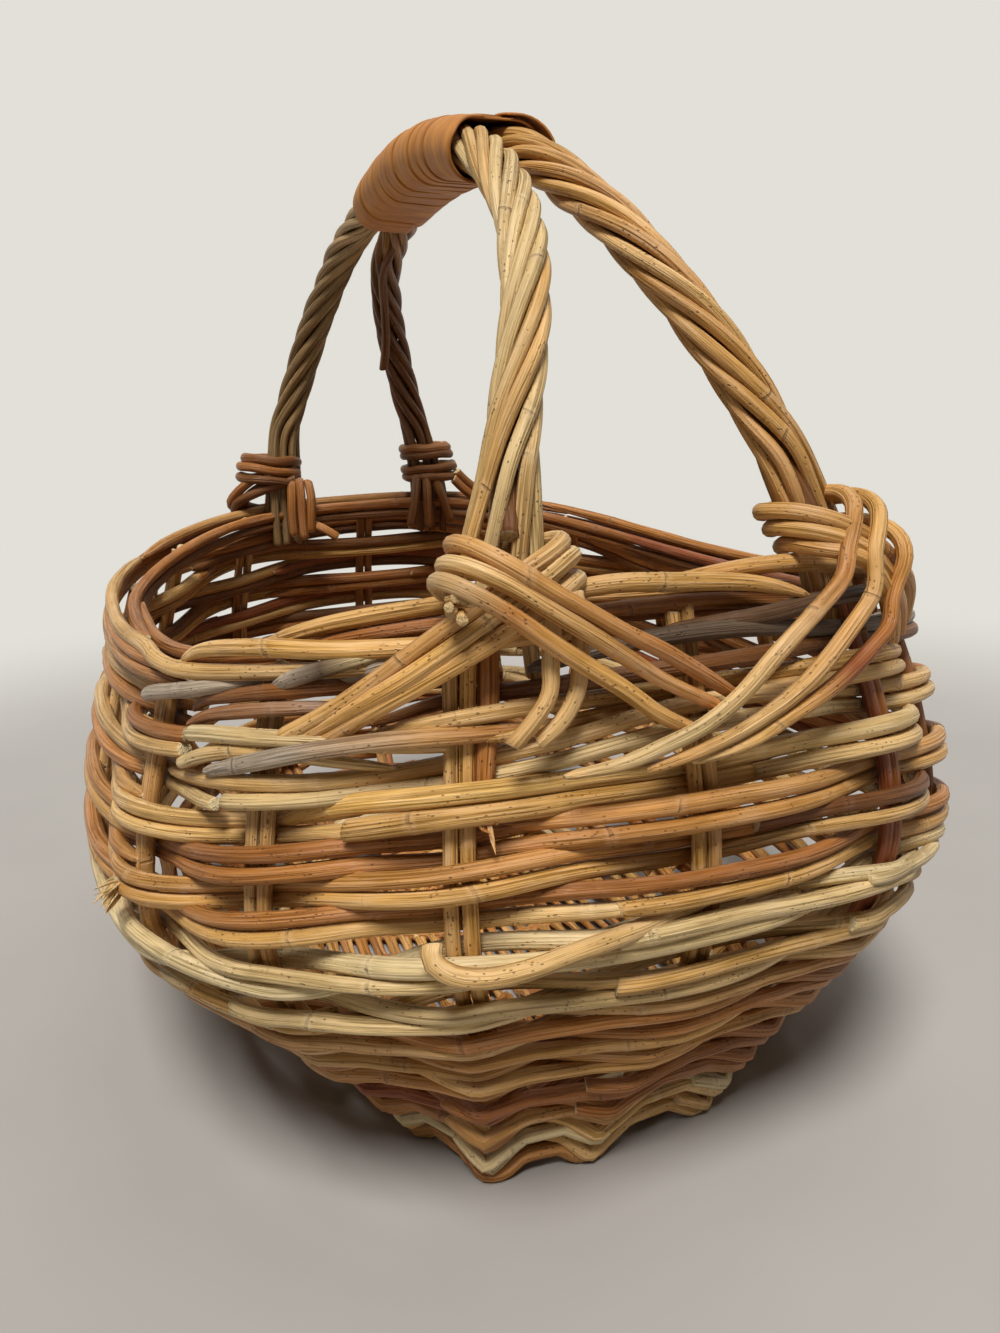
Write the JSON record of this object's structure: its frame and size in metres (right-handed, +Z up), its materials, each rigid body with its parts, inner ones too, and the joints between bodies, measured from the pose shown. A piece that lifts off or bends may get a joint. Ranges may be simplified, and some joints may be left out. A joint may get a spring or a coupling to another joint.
{
  "type": "gathering basket",
  "caption": "Open oval gathering basket of woven round cane with upright pairs, paired rows, a drawn-in rim and a fixed two-bow handle with a bound grip.",
  "frame": {"origin": "middle of the underside of the base, at the height of the surface the basket stands on", "axes": "+Z up, +Y along the handle and the long way of the basket, +X across it"},
  "size_m": [0.334, 0.3956, 0.3568],
  "materials": {
    "straw_cane": "satin peeled cane, pale straw",
    "honey_cane": "satin cane, honey yellow",
    "brown_cane": "satin cane, mid brown",
    "russet_cane": "dark reddish cane",
    "base_cane": "fine woven cane",
    "bark_strip": "smooth orange-brown bark strip, satin"
  },
  "bodies": {
    "root": {"base_weave": "base_cane", "stake_pair_01": "honey_cane", "stake_pair_02": "brown_cane", "stake_pair_03": "honey_cane", "stake_pair_04": "honey_cane", "stake_pair_05": "brown_cane", "stake_pair_06": "honey_cane", "stake_pair_07": "honey_cane", "stake_pair_08": "brown_cane", "stake_pair_09": "honey_cane", "stake_pair_10": "honey_cane", "stake_pair_11": "brown_cane", "stake_pair_12": "honey_cane", "stake_pair_13": "honey_cane", "stake_pair_14": "brown_cane", "stake_pair_15": "honey_cane", "stake_pair_16": "honey_cane", "wale_row_1": "straw_cane", "wale_row_2": "straw_cane", "wale_row_3": "brown_cane", "wale_row_4": "straw_cane", "wale_row_5": "straw_cane", "wale_row_6": "brown_cane", "wale_row_7": "straw_cane", "wale_row_8": "straw_cane", "wale_row_9": "brown_cane", "weaver_row_1": "brown_cane", "weaver_row_2": "straw_cane", "weaver_row_3": "brown_cane", "weaver_row_4": "straw_cane", "weaver_row_5": "brown_cane", "weaver_row_6": "straw_cane", "weaver_row_7": "brown_cane", "border_outer_rods": "honey_cane", "border_inner_rods": "russet_cane", "bow_left": "straw_cane", "bow_right": "honey_cane", "grip_wrap": "bark_strip", "near_left_tie": "straw_cane", "near_right_tie": "brown_cane", "far_left_tie": "brown_cane", "far_right_tie": "russet_cane"}
  },
  "joints": []
}
